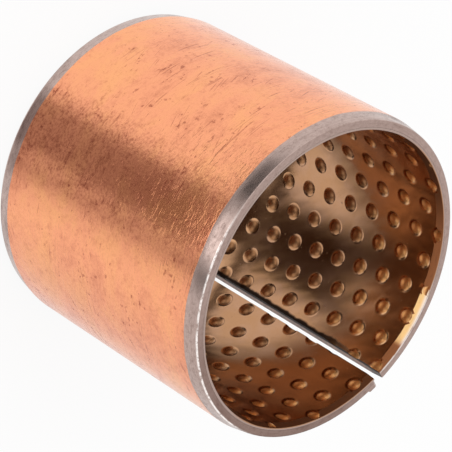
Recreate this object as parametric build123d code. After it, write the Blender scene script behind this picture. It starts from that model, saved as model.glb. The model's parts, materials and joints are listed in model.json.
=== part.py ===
from build123d import *
from math import ceil, cos, degrees, floor, pi, radians, sin, sqrt, tan
import os

# A wrapped plain bush: a steel strip lined with bronze, rolled into a tube that doesn't quite
# close, with small round lubricant pockets pressed in slanting rows all over its bore.
# Millimetres. The bush stands on its lower end: +Z is its axis, the origin is the centre of
# that end, and the split faces +X. "Along" is measured round the bore from the split's middle,
# anticlockwise seen from above.

# --- Driving dimensions -----------------------------------------------------------------------

housing_bore = 55.0             # hole the bush is pressed into, in which its split closes
length = 50.0
wall = 2.5
split_gap = 1.5                 # how far the split stands open while the bush is free
lining_thickness = 0.75         # bronze; the rest of the wall is steel

outer_chamfer_length = 2.6      # long, shallow lead-in on the outside of both ends
outer_chamfer_depth = 0.5
bore_chamfer_length = 1.3       # deburred edge of the lining at both ends
bore_chamfer_depth = 0.6
corner_width = 1.5              # upper corner beside the split, which springs from the tool
corner_chamfer_depth = 0.1      # so that the lead-in hardly touches it

pocket_diameter = 2.7
pocket_depth = 0.45
pocket_sides = 6                # a round dimple is cut as a hollow with this many flat sides
pocket_pitch = 5.12             # from pocket to pocket within a row
row_spacing = 4.92              # from row to row, square to the rows
row_stagger = 2.75              # how far each row starts above the one before it
row_lean = 7.2                  # degrees between the rows and the bush's axis
first_pocket_along = 0.1
first_pocket_height = 0.2
least_pocket_share = 0.1        # a pocket that the split cuts to less than this isn't made

# --- Sizes that follow ------------------------------------------------------------------------

# In its housing the strip fills the whole circumference. Free, it springs open by the split's
# gap, so the free bush is a little larger than its housing.
outer_radius = (pi * housing_bore + split_gap) / (2 * pi)
bore_radius = outer_radius - wall
bond_radius = bore_radius + lining_thickness
bore_circumference = 2 * pi * bore_radius
pocket_radius = pocket_diameter / 2
clearance = 1.0                 # how far a cutting shape runs past what it cuts


def turned(*corners):
    """Turn a section about +Z, from its corners as (radius, height)."""
    outline = Polyline(*[(radius, 0, height) for radius, height in corners], close=True)
    return revolve(make_face(outline), Axis.Z)


def split_slot():
    """The parallel slot that the split leaves through the wall, along the whole length."""
    across = outer_radius + clearance
    slot = Box(across, split_gap, length + 2 * clearance)
    return Pos(across / 2, 0, length / 2) * slot


def lead_in(end_height, direction, depth, turn=360):
    """The ring that a lathe takes off the outside of one end, over `turn` degrees.

    It starts at the split. Direction is +1 where the bush lies above this end, -1 below.
    """
    start_height = end_height + direction * outer_chamfer_length
    run_out = clearance / outer_chamfer_length
    outline = Polyline(
        (outer_radius - depth * (1 + run_out), 0, end_height - direction * clearance),
        (outer_radius, 0, start_height),
        (outer_radius + clearance, 0, start_height),
        (outer_radius + clearance, 0, end_height - direction * clearance),
        close=True,
    )
    return revolve(make_face(outline), Axis.Z, turn)


def steel_backing():
    tube = turned((bond_radius, 0), (outer_radius, 0), (outer_radius, length), (bond_radius, length))
    tube -= lead_in(0, 1, outer_chamfer_depth)
    # One corner of the upper end springs away from the tool, which only skims it.
    skimmed = degrees((split_gap / 2 + corner_width) / outer_radius)
    tube -= lead_in(length, -1, corner_chamfer_depth)
    tube -= lead_in(length, -1, outer_chamfer_depth, 360 - skimmed)
    return tube - split_slot()


def pocket_cutter():
    """One hollow, pressed outwards along +X into the bore at height zero.

    Its mouth has the area of the round one, with two sides along the bush's axis.
    """
    side_turn = 2 * pi / pocket_sides
    mouth_corner = pocket_radius * sqrt(side_turn / sin(side_turn))
    # The mouth is drawn a little inside the bore, so that the cut clears its curved wall.
    inset = mouth_corner**2 / bore_radius
    reach = mouth_corner * (1 + inset / pocket_depth)
    corners = [
        Vector(bore_radius - inset, reach * cos(turn), reach * sin(turn))
        for turn in [side_turn * side + side_turn / 2 for side in range(pocket_sides)]
    ]
    point = Vector(bore_radius + pocket_depth, 0, 0)
    faces = [Face(Wire.make_polygon(corners))]
    for corner, next_corner in zip(corners, corners[1:] + corners[:1]):
        faces.append(Face(Wire.make_polygon([corner, next_corner, point])))
    return Solid(Shell(faces))


def pocket_places():
    """List the pockets' centres as (along, height), row by row over the flat strip."""
    lean = radians(row_lean)
    step_along, step_up = pocket_pitch * sin(lean), pocket_pitch * cos(lean)
    row_along = row_spacing * cos(lean) + row_stagger * sin(lean)
    row_up = row_stagger * cos(lean) - row_spacing * sin(lean)
    row_width = row_spacing / cos(lean)
    first_row = -ceil(length * tan(lean) / row_width)
    last_row = ceil(bore_circumference / row_width)
    # A pocket that the split cuts still marks the strip if enough of it is left.
    overhang = pocket_radius - least_pocket_share * pocket_diameter - split_gap / 2
    places = []
    for row in range(first_row, last_row + 1):
        along = first_pocket_along + row * row_along
        up = first_pocket_height + row * row_up
        for step in range(ceil(-up / step_up), floor((length - up) / step_up) + 1):
            place = (along + step * step_along, up + step * step_up)
            if -overhang < place[0] < bore_circumference + overhang:
                places.append(place)
    return places


def bronze_lining():
    ring = turned(
        (bore_radius + bore_chamfer_depth, 0),
        (bond_radius, 0),
        (bond_radius, length),
        (bore_radius + bore_chamfer_depth, length),
        (bore_radius, length - bore_chamfer_length),
        (bore_radius, bore_chamfer_length),
    )
    cutter = pocket_cutter()
    cuts = []
    for along, height in pocket_places():
        cut = Rot(0, 0, degrees(along / bore_radius)) * Pos(0, 0, height) * cutter
        # The rows don't meet across the split, so a pocket there is kept to its own side.
        if along < pocket_radius:
            cut = split(cut, Plane.ZX, keep=Keep.TOP)
        elif along > bore_circumference - pocket_radius:
            cut = split(cut, Plane.ZX, keep=Keep.BOTTOM)
        cuts.append(cut)
    return ring - cuts - split_slot()


os.makedirs("parts", exist_ok=True)
export_step(steel_backing(), "parts/steel_backing.step")
export_step(bronze_lining(), "parts/bronze_lining.step")
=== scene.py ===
import json
from math import atan2, cos, degrees, pi, radians, sin

import bmesh
import bpy
from bpy.props import FloatProperty, FloatVectorProperty, IntProperty, PointerProperty
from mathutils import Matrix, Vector


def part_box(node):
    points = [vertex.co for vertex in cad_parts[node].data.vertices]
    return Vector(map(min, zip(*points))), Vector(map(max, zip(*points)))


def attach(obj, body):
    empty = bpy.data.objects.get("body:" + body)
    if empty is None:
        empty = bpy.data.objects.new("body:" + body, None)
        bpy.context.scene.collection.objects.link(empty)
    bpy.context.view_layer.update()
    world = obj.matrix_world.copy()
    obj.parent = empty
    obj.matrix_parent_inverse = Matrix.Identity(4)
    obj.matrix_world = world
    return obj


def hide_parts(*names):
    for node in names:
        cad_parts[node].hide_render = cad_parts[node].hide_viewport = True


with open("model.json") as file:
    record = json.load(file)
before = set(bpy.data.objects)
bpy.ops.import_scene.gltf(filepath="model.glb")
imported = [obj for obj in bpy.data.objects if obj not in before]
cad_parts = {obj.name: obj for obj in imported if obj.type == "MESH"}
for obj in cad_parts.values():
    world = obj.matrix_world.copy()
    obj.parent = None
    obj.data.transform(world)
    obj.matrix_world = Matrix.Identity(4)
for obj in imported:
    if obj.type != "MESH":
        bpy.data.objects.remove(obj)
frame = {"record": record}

bl_info = {
    "name": "Wrapped Bearing Bush",
    "version": (1, 0, 0),
    "blender": (4, 5, 0),
    "location": "View3D > Sidebar > Bush",
    "description": "Models and finishes a wrapped bush with a pocketed bronze bore",
    "category": "Add Mesh",
}

# The bush is modelled as its maker makes it: as a flat strip, which is then rolled up. On the
# flat strip X runs along it, its middle at zero, the bore's side faces +Y with the bore's own
# surface at zero, and Z is the bush's height.

MM = 0.001
MOUNTS = {mount["name"]: mount for mount in frame["record"]["mounts"]}
BORE_RADIUS = MOUNTS["bore"]["dims"]["r_mm"] * MM
OUTER_RADIUS = MOUNTS["outside"]["dims"]["r_mm"] * MM
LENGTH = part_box("steel_backing")[1].z
BOND_RADIUS = -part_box("bronze_lining")[0].y

# Vertices closer than this are welded, and ones as close as this lie in one place.
WELD = 0.001 * MM
EXACT = 0.0001 * MM
# Edges that bend by more than this many degrees stay sharp.
CRISP = 50


# --- What a user may change -------------------------------------------------------------------


def size(name, description, default):
    return FloatProperty(
        name=name, description=description, default=default, unit="LENGTH", precision=5
    )


def colour(name, description, default):
    return FloatVectorProperty(
        name=name, description=description, default=default, subtype="COLOR", min=0, max=1
    )


def share(name, description, default):
    return FloatProperty(
        name=name, description=description, default=default, subtype="FACTOR", min=0, max=1
    )


class BushSizes(bpy.types.PropertyGroup):
    """Sizes of the bush"""

    outer_radius: size("Outer radius", "Radius of the free bush outside", OUTER_RADIUS)
    bore_radius: size("Bore radius", "Radius of the free bush's bore", BORE_RADIUS)
    bond_radius: size("Bond radius", "Radius at which steel and bronze meet", BOND_RADIUS)
    length: size("Length", "Length of the bush along its axis", LENGTH)
    split_gap: size("Split", "How far the split stands open, outside", 1.5 * MM)
    lead_in_length: size("Lead-in length", "Length of the chamfer outside both ends", 2.6 * MM)
    lead_in_depth: size("Lead-in depth", "Depth of the chamfer outside both ends", 0.5 * MM)
    corner_width: size("Corner width", "Upper corner that the lead-in misses", 1.5 * MM)
    corner_depth: size("Corner depth", "How deep the lead-in skims that corner", 0.1 * MM)
    corner_radius: size("Corner radius", "Rounding of that corner", 0.45 * MM)
    edge_radius: size("Edge radius", "Rounding of the steel's edges", 0.15 * MM)
    deburr_length: size("Deburred length", "Usual length of the bore's chamfer", 1.25 * MM)
    deburr_depth: size("Deburred depth", "Usual depth of the bore's chamfer", 0.38 * MM)
    pocket_radius: size("Pocket radius", "Radius of a pocket's rim", 1.35 * MM)
    pocket_depth: size("Pocket depth", "Depth of a pocket", 0.45 * MM)
    lip_width: size("Lip width", "Width of the lip pressed up round a pocket", 0.25 * MM)
    lip_height: size("Lip height", "Height of the lip pressed up round a pocket", 0.008 * MM)
    pocket_pitch: size("Pocket pitch", "Distance between pockets in a row", 5.12 * MM)
    row_spacing: size("Row spacing", "Distance between rows, square to them", 4.92 * MM)
    row_stagger: size("Row stagger", "How far each row starts above the last", 2.75 * MM)
    row_lean: FloatProperty(
        name="Row lean",
        description="Angle between the rows and the bush's axis",
        default=radians(7.2),
        subtype="ANGLE",
    )
    first_along: size("First pocket along", "First row's start from the split", 0.1 * MM)
    first_height: size("First pocket height", "First row's start above the end", 0.2 * MM)
    rounds: IntProperty(
        name="Steps round", description="Steps that the rolled steel takes", default=240, min=24
    )


class BushFinish(bpy.types.PropertyGroup):
    """Colours and finishes of the bush"""

    copper: colour("Copper", "Bright copper plating", (1.0, 0.445, 0.205))
    pink_copper: colour("Pink copper", "Paler copper plating", (0.98, 0.395, 0.215))
    tarnish: colour("Tarnish", "Tarnished copper plating", (0.40, 0.11, 0.06))
    steel: colour("Steel", "Bare turned steel", (0.56, 0.42, 0.375))
    # Painted shade on the split's faces.
    shear: colour("Sheared faces", "Dark faces of the split", (0.03, 0.018, 0.013))
    # Darker than the turned steel: partly duller faced steel, partly painted shade.
    faced_steel: colour("Faced steel", "Duller steel of the end faces", (0.42, 0.31, 0.27))
    # A painted glint at the steel's edges.
    glint_steel: colour("Rubbed steel", "Bright steel at a rubbed edge", (0.98, 0.90, 0.86))
    stain: colour("Stain", "Brown stain on bare steel", (0.16, 0.09, 0.07))
    bronze: colour("Bronze", "Rolled bronze of the bore", (0.50, 0.265, 0.135))
    # Darker than the bore: painted shade in the pockets.
    pocket_bronze: colour("Pocket bronze", "Bronze inside the pockets", (0.43, 0.21, 0.095))
    # Painted light in the pockets near the upper end.
    lit_pocket_bronze: colour("Clean bronze", "Pockets towards the upper end", (0.95, 0.48, 0.18))
    # Painted light towards the bore's ends.
    lit_end_bronze: colour("End bronze", "Paler bronze towards the ends", (0.82, 0.46, 0.24))
    worn_bronze: colour("Worn bronze", "Greyer bronze where it is rubbed", (0.56, 0.325, 0.215))
    cut_bronze: colour("Cut bronze", "Freshly cut bronze", (0.98, 0.62, 0.27))
    # Painted shade on the scraped edge.
    shaded_cut_bronze: colour("Dull bronze", "Cut bronze that has gone dull", (0.48, 0.20, 0.085))
    # A painted glint on the scraped edge.
    glint_bronze: colour("Burr", "Pale burr of the cut bronze", (1.0, 0.86, 0.74))
    # Deeper painted shade, on the scraped edge and in a patch of the bore.
    deep_shade_bronze: colour("Dark bronze", "Cut bronze that has gone brown", (0.18, 0.07, 0.03))
    copper_roughness: share("Copper roughness", "Roughness of the plating", 0.15)
    steel_roughness: share("Steel roughness", "Roughness of the turned steel", 0.20)
    bronze_roughness: share("Bronze roughness", "Roughness of the rolled bronze", 0.155)


class BushStudio(bpy.types.PropertyGroup):
    """Camera, lamp and floor"""

    lens: FloatProperty(
        name="Lens", description="Focal length of the camera", default=193.946, unit="CAMERA"
    )
    floor: colour("Floor", "Colour of the floor", (0.9, 0.9, 0.9))
    sky: share("Sky", "Strength of the light from all round", 0.9)
    lamp: FloatProperty(
        name="Lamp", description="Power of the large lamp", default=2.0, unit="POWER", min=0
    )


# --- Modelling by hand, in code ---------------------------------------------------------------

PARTS = {"VERT": "verts", "EDGE": "edges", "FACE": "faces"}


def deselect():
    """Leave nothing selected, so that what comes next works on its own piece."""
    bpy.ops.object.select_all(action="DESELECT")


def centre(edge):
    """The middle of an edge."""
    return (edge.verts[0].co + edge.verts[1].co) / 2


def select(kind, test):
    """Select, in edit mode, the vertices, edges or faces that pass a test."""
    bpy.ops.mesh.select_mode(type=kind)
    bpy.ops.mesh.select_all(action="DESELECT")
    shape = bmesh.from_edit_mesh(bpy.context.object.data)
    for part in getattr(shape, PARTS[kind]):
        part.select_set(bool(test(part)))
    shape.select_flush_mode()
    bmesh.update_edit_mesh(bpy.context.object.data)


def near(a, b, reach=0.005 * MM):
    """Whether two measures are the same."""
    return abs(a - b) < reach


def bend_at(edge):
    """Angle in degrees by which the surface turns at an edge."""
    if len(edge.link_faces) != 2:
        return 0
    return degrees(edge.link_faces[0].normal.angle(edge.link_faces[1].normal, 0))


def cut(place, direction, discard=False):
    """Cut all of the mesh by a plane, and drop what lies on its far side if asked."""
    bpy.ops.mesh.select_mode(type="FACE")
    bpy.ops.mesh.select_all(action="SELECT")
    bpy.ops.mesh.bisect(plane_co=place, plane_no=direction, clear_outer=discard, threshold=EXACT)


def apply_modifier(piece, kind, **settings):
    """Add a modifier with these settings to the piece and apply it."""
    modifier = piece.modifiers.new(kind.title(), kind)
    for name, value in settings.items():
        setattr(modifier, name, value)
    bpy.ops.object.modifier_apply(modifier=modifier.name)


def half_strip(sizes):
    """Half the flat strip's length, measured on the bore's side."""
    return (pi - sizes.split_gap / 2 / sizes.outer_radius) * sizes.bore_radius


def past_split(along, sizes):
    """How far a place along the strip lies from the split's middle, once it is rolled up."""
    return along + pi * sizes.bore_radius


def bond_depth(sizes):
    """Depth from the bore to where steel and bronze meet."""
    return sizes.bond_radius - sizes.bore_radius


def outside_depth(sizes):
    """Depth from the bore to the outside of the bush."""
    return sizes.outer_radius - sizes.bore_radius


def keep_flat_places(piece):
    """Store where each vertex lies on the flat strip, for finishes that follow the strip."""
    places = [value for vertex in piece.data.vertices for value in vertex.co]
    stored = piece.data.attributes.new("flat", "FLOAT_VECTOR", "POINT")
    stored.data.foreach_set("vector", places)


def roll_up(piece, sizes):
    """Leave edit mode, roll the strip round the bush's axis with its ends at +X, and smooth it."""
    bpy.ops.mesh.select_all(action="SELECT")
    bpy.ops.mesh.normals_make_consistent(inside=False)
    bpy.ops.object.mode_set(mode="OBJECT")
    keep_flat_places(piece)
    apply_modifier(
        piece,
        "SIMPLE_DEFORM",
        deform_method="BEND",
        deform_axis="Z",
        angle=2 * half_strip(sizes) / sizes.bore_radius,
    )
    piece.rotation_euler.z = -pi / 2
    piece.location.x = -sizes.bore_radius
    bpy.ops.object.transform_apply(location=True, rotation=True, scale=True)
    bpy.ops.object.shade_smooth()


# --- Finishes ---------------------------------------------------------------------------------


class Socket:
    """A shader node's output. Arithmetic on it adds Math nodes."""

    def __init__(self, tree, output=None):
        self.tree, self.output = tree, output

    def node(self, kind, settings, inputs, output=0):
        """Add a node: its settings first, then the values or links of its sockets."""
        made = self.tree.nodes.new(kind)
        for name, value in settings.items():
            if name == "stops":
                made.color_ramp.interpolation = "EASE"
                ramp = made.color_ramp.elements
                while len(ramp) < len(value):
                    ramp.new(1)
                for element, (place, shade) in zip(ramp, value):
                    element.position, element.color = place, shade
            else:
                setattr(made, name, value)
        for name, value in inputs.items():
            if isinstance(value, Socket):
                self.tree.links.new(value.output, made.inputs[name])
            else:
                made.inputs[name].default_value = value
        return Socket(self.tree, made.outputs[output])

    def math(self, operation, *values):
        """Work these values out with a Math node."""
        return self.node("ShaderNodeMath", {"operation": operation}, dict(enumerate(values)))

    def __add__(self, other):
        return self.math("ADD", self, other)

    def __radd__(self, other):
        return self.math("ADD", other, self)

    def __sub__(self, other):
        return self.math("SUBTRACT", self, other)

    def __rsub__(self, other):
        return self.math("SUBTRACT", other, self)

    def __mul__(self, other):
        return self.math("MULTIPLY", self, other)

    def __rmul__(self, other):
        return self.math("MULTIPLY", other, self)

    def __truediv__(self, other):
        return self.math("DIVIDE", self, other)

    def __abs__(self):
        return self.math("ABSOLUTE", self)

    def larger(self, other):
        """The larger of this value and another."""
        return self.math("MAXIMUM", self, other)

    def sign(self):
        """Minus one, zero or one."""
        return self.math("SIGN", self)

    def ramp(self, low, high, first=0.0, last=1.0):
        """Map low..high smoothly to first..last."""
        return self.node(
            "ShaderNodeMapRange",
            {"interpolation_type": "SMOOTHSTEP"},
            {"Value": self, "From Min": low, "From Max": high, "To Min": first, "To Max": last},
        )

    def band(self, start, full, fading, end):
        """Rise from zero at the start to one, and fall back to zero at the end."""
        return self.ramp(start, full) * self.ramp(end, fading)

    def profile(self, *stops):
        """Follow a smooth line through these (value, result) points."""
        low, high = stops[0][0], stops[-1][0]
        ramp = self.node(
            "ShaderNodeMapRange", {}, {"Value": self, "From Min": low, "From Max": high}
        )
        greys = [((value - low) / (high - low), (*[result] * 3, 1)) for value, result in stops]
        return ramp.node("ShaderNodeValToRGB", {"stops": greys}, {0: ramp})

    def mix(self, first, second):
        """Mix two colours by this value."""
        return self.node(
            "ShaderNodeMix",
            {"data_type": "RGBA", "clamp_factor": True},
            {0: self, 6: opaque(first), 7: opaque(second)},
            output=2,
        )

    def vector(self, operation, other, output=0):
        """Combine two vectors."""
        inputs = {0: self, 1: other}
        return self.node("ShaderNodeVectorMath", {"operation": operation}, inputs, output)

    def scaled(self, *scale):
        """Stretch a place by these factors along its three directions."""
        return self.vector("MULTIPLY", scale)

    def noise(self, scale, detail, rough, distortion=0.0):
        """Cloudy noise at this place."""
        return self.node(
            "ShaderNodeTexNoise",
            {},
            {
                "Vector": self,
                "Scale": scale,
                "Detail": detail,
                "Roughness": rough,
                "Distortion": distortion,
            },
        )

    def bump(self, strength, distance):
        """The normal of a surface that this value raises by up to this distance."""
        inputs = {"Height": self, "Strength": strength, "Distance": distance}
        return self.node("ShaderNodeBump", {}, inputs)


def opaque(shade):
    """A colour as a Mix node wants it."""
    if isinstance(shade, Socket):
        return shade
    return (*shade, 1.0)


def new_finish(name):
    """A new node material: the material, and the start of its nodes."""
    finish = bpy.data.materials.new(name)
    finish.use_nodes = True
    finish.node_tree.nodes.clear()
    return finish, Socket(finish.node_tree)


def output(nodes, shader):
    """Make this shader the material's surface."""
    end = nodes.tree.nodes.new("ShaderNodeOutputMaterial")
    nodes.tree.links.new(shader.output, end.inputs["Surface"])


def metal(nodes, shade, roughness, normal):
    """A metal surface."""
    inputs = {"Base Color": shade, "Roughness": roughness, "Normal": normal, "Metallic": 1.0}
    return nodes.node("ShaderNodeBsdfPrincipled", {}, inputs)


class Strip:
    """Where a finish's point lies on the flat strip: as one place, and in its three directions."""

    def __init__(self, nodes):
        self.flat = nodes.node("ShaderNodeAttribute", {"attribute_name": "flat"}, {}, output=1)
        self.along, self.depth, self.height = (
            nodes.node("ShaderNodeSeparateXYZ", {}, {0: self.flat}, output=axis)
            for axis in range(3)
        )

    def end_faces(self, sizes):
        """One on the bush's two end faces, else zero."""
        upper = self.height.ramp(sizes.length - 0.03 * MM, sizes.length - 0.01 * MM)
        return upper.larger(self.height.ramp(0.03 * MM, 0.01 * MM))


def copper_plating(strip, side_shade, finish):
    """Mottled copper with specks and scratches: its colour, roughness and relief."""
    flat = strip.flat
    clouds = flat.scaled(0.7, 1, 1).noise(110, 5, 0.65, 0.4)
    mottle = flat.noise(650, 4, 0.7)
    grain = flat.scaled(0.8, 1, 1).noise(2400, 3, 0.65)
    # Specks lie in clusters, and single dots anywhere.
    clusters = flat.noise(160, 3, 0.6).ramp(0.46, 0.66)
    specks = flat.scaled(0.9, 1, 1).noise(1300, 2, 0.6).ramp(0.62, 0.68) * clusters
    dots = flat.noise(900, 2, 0.5).ramp(0.70, 0.74)
    # Scratches run round the bush, some level and some leaning.
    level = flat.scaled(0.05, 1, 1).noise(3000, 1, 0.5).ramp(0.655, 0.70)
    level = level * flat.noise(150, 2, 0.5).ramp(0.50, 0.60)
    leaning = flat.node(
        "ShaderNodeVectorRotate", {"rotation_type": "Y_AXIS"}, {0: flat, "Angle": radians(24)}
    )
    leaning = leaning.scaled(0.05, 1, 1).noise(3300, 1, 0.5).ramp(0.665, 0.70)
    leaning = leaning * flat.noise(120, 2, 0.5).ramp(0.54, 0.62)
    scratches = level.larger(leaning)

    # On one side the tarnish is deepened: painted shade.
    tarnish = clouds.ramp(0.48, 0.80, 0, 0.40) + mottle.ramp(0.44, 0.72, 0, 0.22)
    tarnish = tarnish + grain.ramp(0.38, 0.72, 0, 0.20) + side_shade * 0.24
    tarnish = tarnish + specks * 0.6 + dots * 0.5 + scratches * 0.46 - 0.10
    # One stretch, where the wall reflects the dark band, gets extra dark mottle: painted shade.
    band_shade = strip.along.band(2 * MM, 7 * MM, 15 * MM, 21 * MM)
    band_shade_mottle = mottle.ramp(0.42, 0.66, 0, 0.26) + grain.ramp(0.42, 0.62, 0, 0.30)
    tarnish = tarnish + band_shade * band_shade_mottle
    fresh = clouds.ramp(0.3, 0.6).mix(finish.copper, finish.pink_copper)
    shade = tarnish.mix(fresh, finish.tarnish)
    roughness = finish.copper_roughness + tarnish * 0.18 + (mottle - 0.5) * 0.10
    # Short fibres of grain stand up, and glitter where the copper reflects something dark.
    fibres = flat.scaled(0.22, 1, 1).noise(2600, 2, 0.6).ramp(0.56, 0.72)
    relief = grain * 4.0 + fibres * 1.6 + mottle * 1.2 - scratches
    return shade, roughness, relief


def turned_steel(strip, side_shade, sizes, finish):
    """Bare steel, turned rings, brown stain, painted glint and shade: colour, roughness, relief."""
    flat, along = strip.flat, strip.along
    rings = flat.scaled(0.012, 1, 1).noise(5200, 2, 0.6)
    clouds = flat.scaled(0.4, 1, 1).noise(260, 4, 0.65)
    grit = flat.scaled(0.7, 1, 1).noise(1700, 4, 0.75)
    stained = clouds.ramp(0.50, 0.80, 0, 0.50) + rings.ramp(0.45, 0.75, 0, 0.20)
    # On one side the stain is deepened: painted shade.
    stained = stained + grit.ramp(0.40, 0.75, 0, 0.40) + side_shade * 0.18
    shade = stained.mix(finish.steel, finish.stain)
    # The end faces are darker: partly duller faced steel, partly painted shade.
    end_shade = strip.end_faces(sizes) * (side_shade * 0.30 + 0.34)
    shade = end_shade.mix(shade, finish.stain)
    # The upper end's outer corner has a painted glint in one stretch and is darker in the next.
    corner = strip.height.ramp(sizes.length - 0.28 * MM, sizes.length - 0.18 * MM)
    corner = strip.depth.ramp(-1.78 * MM, -1.86 * MM) * corner
    broken = flat.noise(1100, 4, 0.7)
    bright = corner * along.band(4 * MM, 16 * MM, 46 * MM, 54 * MM)
    shade = (bright * broken.ramp(0.36, 0.54)).mix(shade, finish.glint_steel)
    darkened = corner * along.band(46 * MM, 50 * MM, 66 * MM, 74 * MM)
    shade = (darkened * broken.ramp(0.40, 0.55, 0, 0.8)).mix(shade, finish.stain)
    return shade, finish.steel_roughness + stained * 0.25, rings * 0.5 + grit * 0.5


def plated_steel(sizes, finish):
    """Copper plating outside, bare steel on lead-ins and ends, split faces in painted shade."""
    made, nodes = new_finish("copper_plated_steel")
    strip = Strip(nodes)
    # One side of the bush is darkened as painted shade, on the copper and on the steel.
    side_shade = strip.along.band(18 * MM, 36 * MM, 70 * MM, 78 * MM)
    copper, copper_roughness, copper_relief = copper_plating(strip, side_shade, finish)
    steel, steel_roughness, steel_relief = turned_steel(strip, side_shade, sizes, finish)

    # The plating stops in a slightly wavy line where a lead-in starts.
    wander = strip.flat.scaled(1, 0, 0).noise(160, 2, 0.5).ramp(0.3, 0.7, -0.08 * MM, 0.08 * MM)
    height, blend = strip.height + wander, 0.06 * MM
    lower_start = sizes.lead_in_length - 0.05 * MM
    upper_start = sizes.length - lower_start
    turned = height.ramp(upper_start, upper_start + blend)
    turned = turned.larger(height.ramp(lower_start, lower_start - blend))

    half = half_strip(sizes)
    # The split's faces are painted nearly black, as shade.
    split_face = abs(strip.along).ramp(half - 0.06 * MM, half - 0.01 * MM)
    split_shade_noise = strip.flat.scaled(1, 0.3, 1).noise(1500, 3, 0.6).ramp(0.3, 0.8, 0.8, 1.0)
    shade = (split_face * split_shade_noise).mix(turned.mix(copper, steel), finish.shear)
    roughness = copper_roughness + turned * (steel_roughness - copper_roughness)
    roughness = roughness + split_face * 0.2
    relief = copper_relief * (1 - turned) + steel_relief * turned
    output(nodes, metal(nodes, shade, roughness, relief.bump(0.4, 0.02 * MM)))
    return made


def rolled_bronze(sizes, finish):
    """Satin bronze of the bore, greyer where rubbed, faced end lands, painted light and shade."""
    made, nodes = new_finish("rolled_bronze")
    strip = Strip(nodes)
    flat, along, height = strip.flat, strip.along, strip.height
    clouds = flat.noise(210, 4, 0.6)
    grain = flat.scaled(0.5, 1, 1).noise(3600, 3, 0.65)
    specks = flat.noise(1500, 2, 0.5).ramp(0.68, 0.76)
    in_pocket = strip.depth.ramp(-0.02 * MM, -0.3 * MM)
    rubbed = clouds.ramp(0.35, 0.72, 0, 0.55) * (1 - in_pocket)
    shade = rubbed.mix(finish.bronze, finish.worn_bronze)
    # Towards both ends the bronze is painted paler, as light from the open ends.
    off_middle = abs(height - sizes.length / 2)
    shade = off_middle.ramp(11 * MM, 20 * MM, 0, 0.7).mix(shade, finish.lit_end_bronze)
    # A browner, darker patch inside the upper end, beside the split, is painted shade.
    shade_patch = along.ramp(44 * MM, 60 * MM) * height.ramp(28 * MM, 40 * MM)
    shade = (shade_patch * 0.62).mix(shade, finish.deep_shade_bronze)
    # Pockets are unworn, painted darker as shade, and golden towards the upper end as painted light.
    dish = height.ramp(29 * MM, 42 * MM).mix(finish.pocket_bronze, finish.lit_pocket_bronze)
    shade = in_pocket.mix(shade, dish)
    dirt = specks * 0.4 + grain.ramp(0.5, 0.85, 0, 0.2)
    shade = dirt.mix(shade, finish.stain)

    # The end lands are faced with the steel, and the bronze only shows as a warmer line.
    opposite = abs(along - 7 * MM).ramp(44 * MM, 36 * MM)
    grey = strip.depth.ramp(-0.36 * MM, -0.66 * MM).larger(opposite)
    land = grey.mix(finish.pocket_bronze, finish.faced_steel)
    # Near the split the land has a painted glint.
    bright = past_split(along, sizes).ramp(19 * MM, 15 * MM)
    bright = bright * flat.noise(700, 3, 0.6).ramp(0.3, 0.55)
    land = (bright * 0.6).mix(land, finish.glint_steel)
    shade = strip.end_faces(sizes).mix(shade, land)

    # The split's faces are painted dark as shade, and so is a band along the upper one's edge.
    half = half_strip(sizes)
    split_face = abs(along).ramp(half - 0.02 * MM, half - 0.005 * MM)
    reach = flat.scaled(0, 0, 1).noise(220, 3, 0.6).ramp(0.3, 0.7, 0.5 * MM, 1.1 * MM)
    edge_shade = (along + half - reach).ramp(0.15 * MM, -0.35 * MM)
    edge_shade = edge_shade * height.ramp(0.95 * sizes.length, 0.70 * sizes.length, 0.2, 1)
    dark = split_face.larger(edge_shade)
    shade = dark.mix(shade, finish.shear)
    roughness = finish.bronze_roughness + (clouds - 0.5) * 0.08 + specks * 0.15
    roughness = roughness + in_pocket * 0.20 + dark * 0.3
    relief = grain + clouds * 0.7
    output(nodes, metal(nodes, shade, roughness, relief.bump(0.25, 0.008 * MM)))
    return made


def cut_bronze(sizes, finish):
    """Scraped bronze at the bore's edge: painted light past the split, painted shade elsewhere."""
    made, nodes = new_finish("cut_bronze")
    strip = Strip(nodes)
    chatter = strip.flat.scaled(0.25, 1, 1).noise(2400, 3, 0.6)
    wander = (strip.flat.scaled(1, 0.2, 0.2).noise(300, 3, 0.6) - 0.5) * 3 * MM
    from_split = past_split(strip.along, sizes)
    ragged = from_split + wander
    # The gold stretch is painted light; the stretches farther round are painted shade.
    bright = ragged.band(6 * MM, 8 * MM, 16 * MM, 17 * MM)
    brown = ragged.ramp(38 * MM, 24 * MM) * from_split.ramp(0, MM)
    dull = brown.mix(finish.deep_shade_bronze, finish.shaded_cut_bronze)
    # Towards the steel the gold turns pale: a painted glint.
    gold = strip.depth.ramp(-0.20 * MM, -0.36 * MM, 0, 0.8).mix(finish.cut_bronze, finish.glint_bronze)
    shade = bright.mix(dull, gold)
    shade = chatter.ramp(0.5, 0.8, 0, 0.35).mix(shade, finish.stain)
    roughness = 0.42 - bright * 0.12 + chatter * 0.1
    # The gold stretch has a raised edge whose normal leans towards the end of the bush.
    towards_end = (strip.height - sizes.length / 2).sign()
    lean = nodes.node("ShaderNodeCombineXYZ", {}, {2: bright * towards_end * 0.36})
    normal = chatter.bump(0.4, 0.015 * MM).vector("ADD", lean)
    normal = nodes.node("ShaderNodeVectorMath", {"operation": "NORMALIZE"}, {0: normal})
    output(nodes, metal(nodes, shade, roughness, normal))
    return made


# --- The pieces -------------------------------------------------------------------------------


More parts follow.
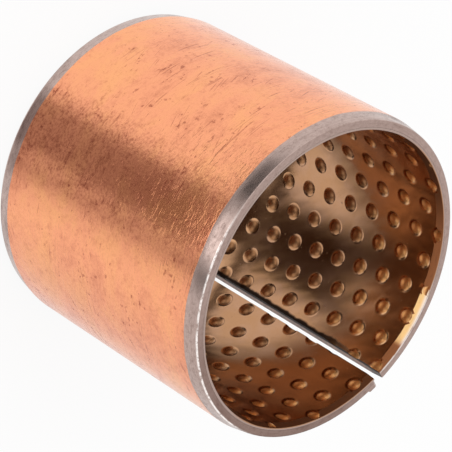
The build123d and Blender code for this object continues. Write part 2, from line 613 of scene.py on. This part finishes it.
class BUSH_OT_backing(bpy.types.Operator):
    """Model the steel backing as a flat strip with turned ends, and roll it up"""

    bl_idname = "bush.backing"
    bl_label = "Steel backing"
    bl_options = {"REGISTER", "UNDO"}

    def blank(self, sizes):
        """The flat steel strip, cut where its lead-ins and its springy corner start."""
        half, outer, inner = half_strip(sizes), outside_depth(sizes), bond_depth(sizes)
        bpy.ops.mesh.primitive_cube_add(
            size=1,
            location=(0, -(inner + outer) / 2, sizes.length / 2),
            scale=(2 * half, outer - inner, sizes.length),
        )
        piece = bpy.context.object
        bpy.ops.object.transform_apply(location=True, rotation=True, scale=True)
        bpy.ops.object.mode_set(mode="EDIT")
        # Beside the springy corner, the lead-in deepens over a short stretch.
        corner, deepening = half - sizes.corner_width, 0.25 * MM
        cut((0, 0, sizes.lead_in_length), (0, 0, 1))
        cut((0, 0, sizes.length - sizes.lead_in_length), (0, 0, 1))
        cut((corner, 0, 0), (1, 0, 0))
        cut((corner - deepening, 0, 0), (1, 0, 0))
        return piece

    def lead_ins(self, sizes):
        """Move both outer end edges inwards, though the springy corner hardly."""
        corner = half_strip(sizes) - sizes.corner_width

        def turned(vertex):
            at_end = near(vertex.co.z, 0) or near(vertex.co.z, sizes.length)
            return at_end and near(vertex.co.y, -outside_depth(sizes))

        def missed(vertex):
            return vertex.co.x > corner - 0.01 * MM and near(vertex.co.z, sizes.length)

        select("VERT", lambda vertex: turned(vertex) and missed(vertex))
        bpy.ops.transform.translate(value=(0, sizes.corner_depth, 0))
        select("VERT", lambda vertex: turned(vertex) and not missed(vertex))
        bpy.ops.transform.translate(value=(0, sizes.lead_in_depth, 0))

    def rounded_edges(self, sizes):
        """Round the springy corner, then every outer edge with more than the lead-in's bend."""
        least_bend = 30

        def springy(edge):
            at_corner = near(centre(edge).x, half_strip(sizes)) and near(centre(edge).z, sizes.length)
            return at_corner and abs(edge.verts[0].co.y - edge.verts[1].co.y) > MM

        def outer(edge):
            return bend_at(edge) > least_bend and centre(edge).y < -bond_depth(sizes) - 0.05 * MM

        select("EDGE", springy)
        bpy.ops.mesh.bevel(offset=sizes.corner_radius, segments=4, affect="EDGES")
        select("EDGE", outer)
        bpy.ops.mesh.bevel(
            offset=sizes.edge_radius, segments=3, affect="EDGES", clamp_overlap=True
        )
        bpy.ops.mesh.remove_doubles(threshold=WELD)

    def rolling_steps(self, sizes):
        """Cut the strip into steps along it, for it to roll up."""
        half, coarse = half_strip(sizes), 16
        for longest, cuts in (
            (half, coarse - 1),
            (1.2 * half / coarse, max(1, sizes.rounds // coarse - 1)),
        ):
            select("EDGE", lambda edge: abs(edge.verts[0].co.x - edge.verts[1].co.x) > longest)
            bpy.ops.mesh.subdivide(number_cuts=cuts)

    def crisp_edges(self, sizes):
        """Keep the start of each lead-in and the edges at the bond sharp."""
        starts = (sizes.lead_in_length, sizes.length - sizes.lead_in_length)

        def crisp(edge):
            level = near(edge.verts[0].co.z, edge.verts[1].co.z)
            on_line = min(abs(centre(edge).z - start) for start in starts) < 0.01 * MM
            at_start = level and on_line and near(centre(edge).y, -outside_depth(sizes))
            return bend_at(edge) > CRISP or at_start

        select("EDGE", crisp)
        bpy.ops.mesh.mark_sharp()

    def execute(self, context):
        sizes, finish = context.scene.bush_sizes, context.scene.bush_finish
        deselect()
        piece = self.blank(sizes)
        piece.name = piece.data.name = "backing"
        self.lead_ins(sizes)
        self.rounded_edges(sizes)
        self.rolling_steps(sizes)
        self.crisp_edges(sizes)
        roll_up(piece, sizes)
        apply_modifier(piece, "WEIGHTED_NORMAL", keep_sharp=True, weight=80)
        piece.data.materials.append(plated_steel(sizes, finish))
        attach(piece, "root")
        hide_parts("steel_backing")
        return {"FINISHED"}


class BUSH_OT_lining(bpy.types.Operator):
    """Model one pocket of the bronze lining, copy it all over the strip, trim and roll it up"""

    bl_idname = "bush.lining"
    bl_label = "Bronze lining"
    bl_options = {"REGISTER", "UNDO"}

    def pocket(self, sizes, column, row):
        """One pocket in its cell of the lattice, whose sides are a column's and a row's step."""
        corners = [(column + row) / 2, (column - row) / 2, -(column + row) / 2, (row - column) / 2]
        sides, steps = len(corners), 16
        # Turned so that four of its corners point at the cell's corners.
        turn = radians(9)
        rim, lip = sizes.pocket_radius, sizes.lip_height
        bpy.ops.mesh.primitive_circle_add(
            vertices=steps, radius=rim, fill_type="NGON", rotation=(-pi / 2, -turn, 0)
        )
        piece = bpy.context.object
        bpy.ops.object.transform_apply(location=True, rotation=True, scale=True)
        bpy.ops.object.mode_set(mode="EDIT")
        bpy.ops.mesh.select_mode(type="FACE")
        bpy.ops.mesh.select_all(action="SELECT")
        bpy.ops.transform.translate(value=(0, lip, 0))
        # The dish is a steep ring round a shallow floor.
        floor_depth = 0.24 * sizes.pocket_depth
        steep = lip + sizes.pocket_depth - floor_depth
        bpy.ops.mesh.inset(thickness=0.38 * rim, depth=-steep)
        bpy.ops.mesh.poke(offset=-floor_depth)
        # The lip's foot, and then the cell's own outline.
        foot = (rim + sizes.lip_width) / rim
        select("EDGE", lambda edge: len(edge.link_faces) == 1)
        bpy.ops.mesh.extrude_edges_move()
        bpy.ops.transform.resize(value=(foot, 0, foot), center_override=(0, 0, 0))
        bpy.ops.mesh.extrude_edges_move()
        outline = []
        for corner, following in zip(corners, corners[1:] + corners[:1]):
            for step in range(steps // sides):
                outline.append(corner.lerp(following, step / (steps // sides)))
        first = pi / sides + turn
        shape = bmesh.from_edit_mesh(piece.data)
        for vertex in shape.verts:
            if vertex.select:
                direction = atan2(vertex.co.z, vertex.co.x) - first
                vertex.co = outline[round(direction / (2 * pi / steps)) % steps]
        bmesh.update_edit_mesh(piece.data)
        bpy.ops.object.mode_set(mode="OBJECT")
        return piece

    def pocketed_strip(self, sizes):
        """The flat strip's bore side, with leaning rows of pockets, trimmed at the split."""
        half, lean = half_strip(sizes), sizes.row_lean
        column = Vector((sin(lean), 0, cos(lean))) * sizes.pocket_pitch
        row = Vector((cos(lean), 0, -sin(lean))) * sizes.row_spacing
        row += Vector((sin(lean), 0, cos(lean))) * sizes.row_stagger
        piece = self.pocket(sizes, column, row)

        # Enough rows and columns to cover the strip all over, although they lean.
        rows_before, rows_after = 2, int(2 * half / row.x) + 5
        steps_below = int(rows_after * row.z / column.z) + 2
        steps_above = int((sizes.length + rows_before * row.z) / column.z) + 2
        piece.location = -rows_before * row - steps_below * column
        piece.location.x += sizes.first_along - pi * sizes.bore_radius
        piece.location.z += sizes.first_height
        bpy.ops.object.transform_apply(location=True, rotation=True, scale=True)
        for step, count in (
            (column, steps_below + steps_above),
            (row, rows_before + rows_after),
        ):
            apply_modifier(
                piece,
                "ARRAY",
                count=count,
                use_relative_offset=False,
                use_constant_offset=True,
                constant_offset_displace=step,
                use_merge_vertices=True,
                merge_threshold=WELD,
            )

        bpy.ops.object.mode_set(mode="EDIT")
        bpy.ops.mesh.select_all(action="SELECT")
        bpy.ops.mesh.remove_doubles(threshold=WELD)
        cut((half, 0, 0), (1, 0, 0), discard=True)
        cut((-half, 0, 0), (-1, 0, 0), discard=True)
        return piece

    def deburred_length(self, sizes, along):
        """Length of the hand-deburred edge at a place along the strip."""
        place = past_split(along, sizes)
        wander = sin(place / (1.9 * MM)) + sin(place / (4.3 * MM) + 2)
        wander += sin(place / (0.83 * MM) + 1) / 2
        return sizes.deburr_length + 0.05 * MM * wander

    def deburr(self, piece, sizes, upper):
        """Scrape the bore's edge off at one end, trim the strip there and close its end face."""
        end = sizes.length if upper else 0
        inward = -1 if upper else 1
        usual, slope = sizes.deburr_length, sizes.deburr_depth / sizes.deburr_length
        shape = bmesh.from_edit_mesh(piece.data)

        def shift(way):
            for vertex in bmesh.from_edit_mesh(piece.data).verts:
                change = self.deburred_length(sizes, vertex.co.x) - usual
                vertex.co.z -= way * inward * change

        # No pocket is so deep at the end that it would reach past the chamfer there.
        deepest = -0.9 * sizes.deburr_depth
        for vertex in shape.verts:
            if inward * (vertex.co.z - end) < usual and vertex.co.y < deepest:
                vertex.co.y = deepest
        # While the strip is shifted, its wavy chamfer is a plane.
        shift(1)
        cut((0, 0, end + inward * usual), (0, 1, -inward * slope))
        shape = bmesh.from_edit_mesh(piece.data)
        scraped = set()
        for vertex in shape.verts:
            surface = -slope * (usual - inward * (vertex.co.z - end))
            if surface < EXACT / 10 and vertex.co.y > surface - EXACT:
                vertex.co.y = surface
                scraped.add(vertex)
        for face in shape.faces:
            if scraped.issuperset(face.verts):
                face.material_index = 1
        shift(-1)
        bmesh.update_edit_mesh(piece.data)
        cut((0, 0, end), (0, 0, -inward), discard=True)

        def at_end(part):
            return all(near(vertex.co.z, end, EXACT) for vertex in part.verts)

        # The end land, which has the bore's finish and not the scraped one.
        select("EDGE", lambda edge: len(edge.link_faces) == 1 and at_end(edge))
        bpy.ops.mesh.extrude_edges_move()
        bpy.ops.transform.resize(value=(1, 0, 1), center_override=(0, self.back(sizes), end))
        shape = bmesh.from_edit_mesh(piece.data)
        for face in filter(at_end, shape.faces):
            face.material_index = 0
        bmesh.update_edit_mesh(piece.data)

    def back(self, sizes):
        """Where the lining's back lies, sunk a little into the steel."""
        return -bond_depth(sizes) - 0.03 * MM

    def close_split_face(self, sizes, place):
        """Close the strip's end at this place along it."""

        def on_end(vertex):
            return near(vertex.co.x, place)

        select("VERT", lambda vertex: on_end(vertex) and near(vertex.co.y, self.back(sizes)))
        bpy.ops.mesh.edge_face_add()
        select("EDGE", lambda edge: len(edge.link_faces) < 2 and all(map(on_end, edge.verts)))
        bpy.ops.mesh.edge_face_add()

    def close_back(self, sizes):
        """Close the strip's back, in steps along it so that it rolls up."""
        select("EDGE", lambda edge: len(edge.link_faces) == 1)
        bpy.ops.mesh.edge_face_add()
        select("FACE", lambda face: all(near(vertex.co.y, self.back(sizes)) for vertex in face.verts))
        bpy.ops.mesh.hide(unselected=True)
        half, steps = half_strip(sizes), sizes.rounds // 4
        for step in range(1, steps):
            cut((half * (2 * step / steps - 1), 0, 0), (1, 0, 0))
        bpy.ops.mesh.reveal(select=False)

    def crisp_edges(self):
        """Keep right angles and the scraped edge's outline sharp."""

        def crisp(edge):
            finishes = {face.material_index for face in edge.link_faces}
            return bend_at(edge) > CRISP or len(finishes) > 1

        select("EDGE", crisp)
        bpy.ops.mesh.mark_sharp()

    def execute(self, context):
        sizes, finish = context.scene.bush_sizes, context.scene.bush_finish
        half = half_strip(sizes)
        deselect()
        piece = self.pocketed_strip(sizes)
        piece.name = piece.data.name = "lining"
        self.deburr(piece, sizes, True)
        self.deburr(piece, sizes, False)
        self.close_split_face(sizes, half)
        self.close_split_face(sizes, -half)
        self.close_back(sizes)
        self.crisp_edges()
        piece.data.materials.append(rolled_bronze(sizes, finish))
        piece.data.materials.append(cut_bronze(sizes, finish))
        roll_up(piece, sizes)
        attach(piece, "root")
        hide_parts("bronze_lining")
        return {"FINISHED"}


# --- The stage --------------------------------------------------------------------------------

CAMERA_PLACE = (-0.281832, -0.111585, 0.286504)
CAMERA_TURN = [radians(angle) for angle in (-30.40083, -40.87831, 63.35938)]


class BUSH_OT_stage(bpy.types.Operator):
    """Set the camera, the floor, what the metal reflects, the sky and the lamp"""

    bl_idname = "bush.stage"
    bl_label = "Stage"
    bl_options = {"REGISTER", "UNDO"}

    def camera(self, context, studio):
        """A camera far off, which looks down and into the bore past the split."""
        deselect()
        bpy.ops.object.camera_add(location=CAMERA_PLACE, rotation=CAMERA_TURN)
        camera = context.object
        camera.name = "camera"
        camera.data.sensor_width = 36
        camera.data.lens = studio.lens
        camera.data.clip_start, camera.data.clip_end = 0.01, 20
        context.scene.camera = camera

    def lamp(self, context, studio):
        """One large soft lamp above the bush, which doesn't show in the metal."""
        place, aim = Vector((-0.5, 0.35, 0.9)), Vector((0, 0, 0.03))
        facing = (aim - place).to_track_quat("-Z", "Y").to_euler()
        deselect()
        bpy.ops.object.light_add(type="AREA", location=place, rotation=facing)
        lamp = context.object
        lamp.name = "key_lamp"
        lamp.data.shape, lamp.data.size, lamp.data.energy = "SQUARE", 0.7, studio.lamp
        lamp.visible_glossy = False

    def seen(self, nodes):
        """One for rays of the camera and for reflected and transmitted ones, else zero."""
        rays = [nodes.node("ShaderNodeLightPath", {}, {}, output=kind) for kind in (0, 3, 6)]
        return rays[0].larger(rays[1]).larger(rays[2])

    def floor(self, context, studio):
        """A pale floor that keeps a trace of the bush's shadow."""
        deselect()
        bpy.ops.mesh.primitive_plane_add(size=12)
        floor = context.object
        floor.name = "floor"
        made, nodes = new_finish("floor")
        plain = nodes.node("ShaderNodeBsdfDiffuse", {}, {"Color": opaque(studio.floor)})
        white = nodes.node("ShaderNodeEmission", {}, {"Color": (1, 1, 1, 1), "Strength": 1.0})
        share = self.seen(nodes) * 0.88
        output(nodes, nodes.node("ShaderNodeMixShader", {}, {0: share, 1: plain, 2: white}))
        floor.data.materials.append(made)

    def reflected_outside(self, ahead, aside, reach):
        """What the wall reflects and, farther out, what the upper lead-in reflects."""
        bearing = aside / (2 * ahead - 1).larger(0.2)
        wall = bearing.profile(
            (-0.30, 1.0), (-0.20, 0.97), (-0.14, 0.74), (-0.06, 0.40), (0.04, 0.33), (0.18, 0.35),
            (0.24, 0.52), (0.30, 0.56), (0.36, 0.50), (0.44, 0.64), (0.54, 0.84), (0.70, 0.91),
            (0.9, 0.98),
        )
        # The dark band is as dark at the bush's upper end, whose reflection lies farther out.
        dark = bearing.profile((-0.15, 0.0), (-0.06, 1.0), (0.19, 1.0), (0.27, 0.0))
        wall = wall - dark * reach.ramp(1.3, 2.8, 0, 0.18)
        lead_in = bearing.profile(
            (-0.9, 0.95), (-0.60, 0.7), (-0.46, 0.2), (-0.20, 0.08), (-0.08, 0.75), (0.04, 1.7),
            (0.18, 1.7), (0.30, 0.5), (0.38, 0.20), (0.46, 0.45), (0.60, 0.9),
        )
        return reach.ramp(3.1, 3.6).mix(wall.mix((0.10, 0.03, 0.02), (1, 1, 1)), lead_in)

    def reflected_inside(self, ahead, aside, reach):
        """What the bore reflects: a hollow mirror, whose focus lies behind the bush's axis."""
        past_focus = 2 * ahead + BORE_RADIUS / OUTER_RADIUS
        # Close to the focus the bearing would run away.
        bearing = aside / (abs(past_focus).larger(0.16) * past_focus.sign())
        far_side = bearing.profile(
            (-0.50, 1.15), (-0.36, 1.15), (-0.22, 0.68), (-0.12, 0.03), (0.20, 0.0), (0.30, 0.03),
            (0.42, 0.26), (0.52, 0.60), (0.62, 0.80), (0.80, 1.0),
        )
        shaded = reach.profile(
            (0.40, 1.0), (0.55, 0.95), (0.68, 0.72), (0.78, 0.42), (0.95, 0.28)
        )
        near_side = ahead.ramp(0.35, 0.95)
        bore = far_side * shaded * (1 - near_side)
        bore = bore + near_side * ahead.ramp(0.70, 0.88, 0.25, 0.90)
        return (bore * 1.15).mix((0.03, 0.012, 0.004), (1, 1, 1))

    def reflections(self, context):
        """A card flat on the floor, which only shows as a reflection in the metal.

        Ahead is towards the camera, aside is to its left, and distances are in outer radii. The
        bush's wall is a curved mirror, so a place on the card shows in it at a bearing round the
        wall. The card is shaded by that bearing, which gives straight bands along the wall.
        """
        deselect()
        corners = [(-1, -1), (0, -1), (5, -9), (9, -4), (9, 5), (5, 9), (0, 1), (-1, 1)]
        bpy.ops.mesh.primitive_circle_add(vertices=len(corners), fill_type="NGON")
        card = context.object
        card.name = "reflections"
        place = context.scene.camera.location
        forward = Vector((place.x, place.y, 0)).normalized()
        left = Vector((-forward.y, forward.x, 0))
        above_floor = 0.3 * MM
        bpy.ops.object.mode_set(mode="EDIT")
        shape = bmesh.from_edit_mesh(card.data)
        for vertex, (ahead, aside) in zip(shape.verts, corners):
            vertex.co = (forward * ahead + left * aside) * OUTER_RADIUS
            vertex.co.z = above_floor
        bmesh.update_edit_mesh(card.data)
        bpy.ops.object.mode_set(mode="OBJECT")

        made, nodes = new_finish("reflections")
        spot = nodes.node("ShaderNodeTexCoord", {}, {}, output=3)
        ahead = spot.vector("DOT_PRODUCT", forward / OUTER_RADIUS, output=1)
        aside = spot.vector("DOT_PRODUCT", left / OUTER_RADIUS, output=1)
        reach = nodes.math("SQRT", ahead * ahead + aside * aside)
        inside = self.reflected_inside(ahead, aside, reach)
        outside = self.reflected_outside(ahead, aside, reach)
        level = reach.ramp(0.95, 0.96).mix(inside, outside)
        output(nodes, nodes.node("ShaderNodeEmission", {}, {"Color": level}))
        card.data.materials.append(made)
        card.visible_camera = card.visible_diffuse = card.visible_shadow = False

    def sky(self, context, studio):
        """Soft light from all round, which is plain white where it is seen."""
        world = bpy.data.worlds.new("sky")
        world.use_nodes = True
        world.node_tree.nodes.clear()
        nodes = Socket(world.node_tree)
        level = studio.sky + self.seen(nodes) * (1 - studio.sky)
        sky = nodes.node("ShaderNodeBackground", {}, {"Color": (1, 1, 1, 1), "Strength": level})
        end = world.node_tree.nodes.new("ShaderNodeOutputWorld")
        world.node_tree.links.new(sky.output, end.inputs["Surface"])
        context.scene.world = world

    def execute(self, context):
        studio = context.scene.bush_studio
        self.camera(context, studio)
        self.floor(context, studio)
        self.reflections(context)
        self.sky(context, studio)
        self.lamp(context, studio)
        context.scene.view_settings.view_transform = "Standard"
        return {"FINISHED"}


class BUSH_PT_panel(bpy.types.Panel):
    """The bush's makers and what they follow"""

    bl_idname = "BUSH_PT_panel"
    bl_label = "Bearing bush"
    bl_space_type = "VIEW_3D"
    bl_region_type = "UI"
    bl_category = "Bush"

    def draw(self, context):
        for maker in MAKERS:
            self.layout.operator(maker.bl_idname)
        for group in (
            context.scene.bush_sizes,
            context.scene.bush_finish,
            context.scene.bush_studio,
        ):
            column = self.layout.column(heading=group.bl_rna.description)
            for name in group.__annotations__:
                column.prop(group, name)


# --- Registration and the run -----------------------------------------------------------------

GROUPS = {"bush_sizes": BushSizes, "bush_finish": BushFinish, "bush_studio": BushStudio}
MAKERS = (BUSH_OT_backing, BUSH_OT_lining, BUSH_OT_stage)
CLASSES = (*GROUPS.values(), *MAKERS, BUSH_PT_panel)


def register():
    for made in CLASSES:
        bpy.utils.register_class(made)
    for name, group in GROUPS.items():
        setattr(bpy.types.Scene, name, PointerProperty(type=group))


def unregister():
    for name in GROUPS:
        delattr(bpy.types.Scene, name)
    for made in reversed(CLASSES):
        bpy.utils.unregister_class(made)


def main():
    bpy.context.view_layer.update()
    register()
    bpy.ops.bush.backing()
    bpy.ops.bush.lining()
    bpy.ops.bush.stage()


if __name__ == "__main__":
    main()
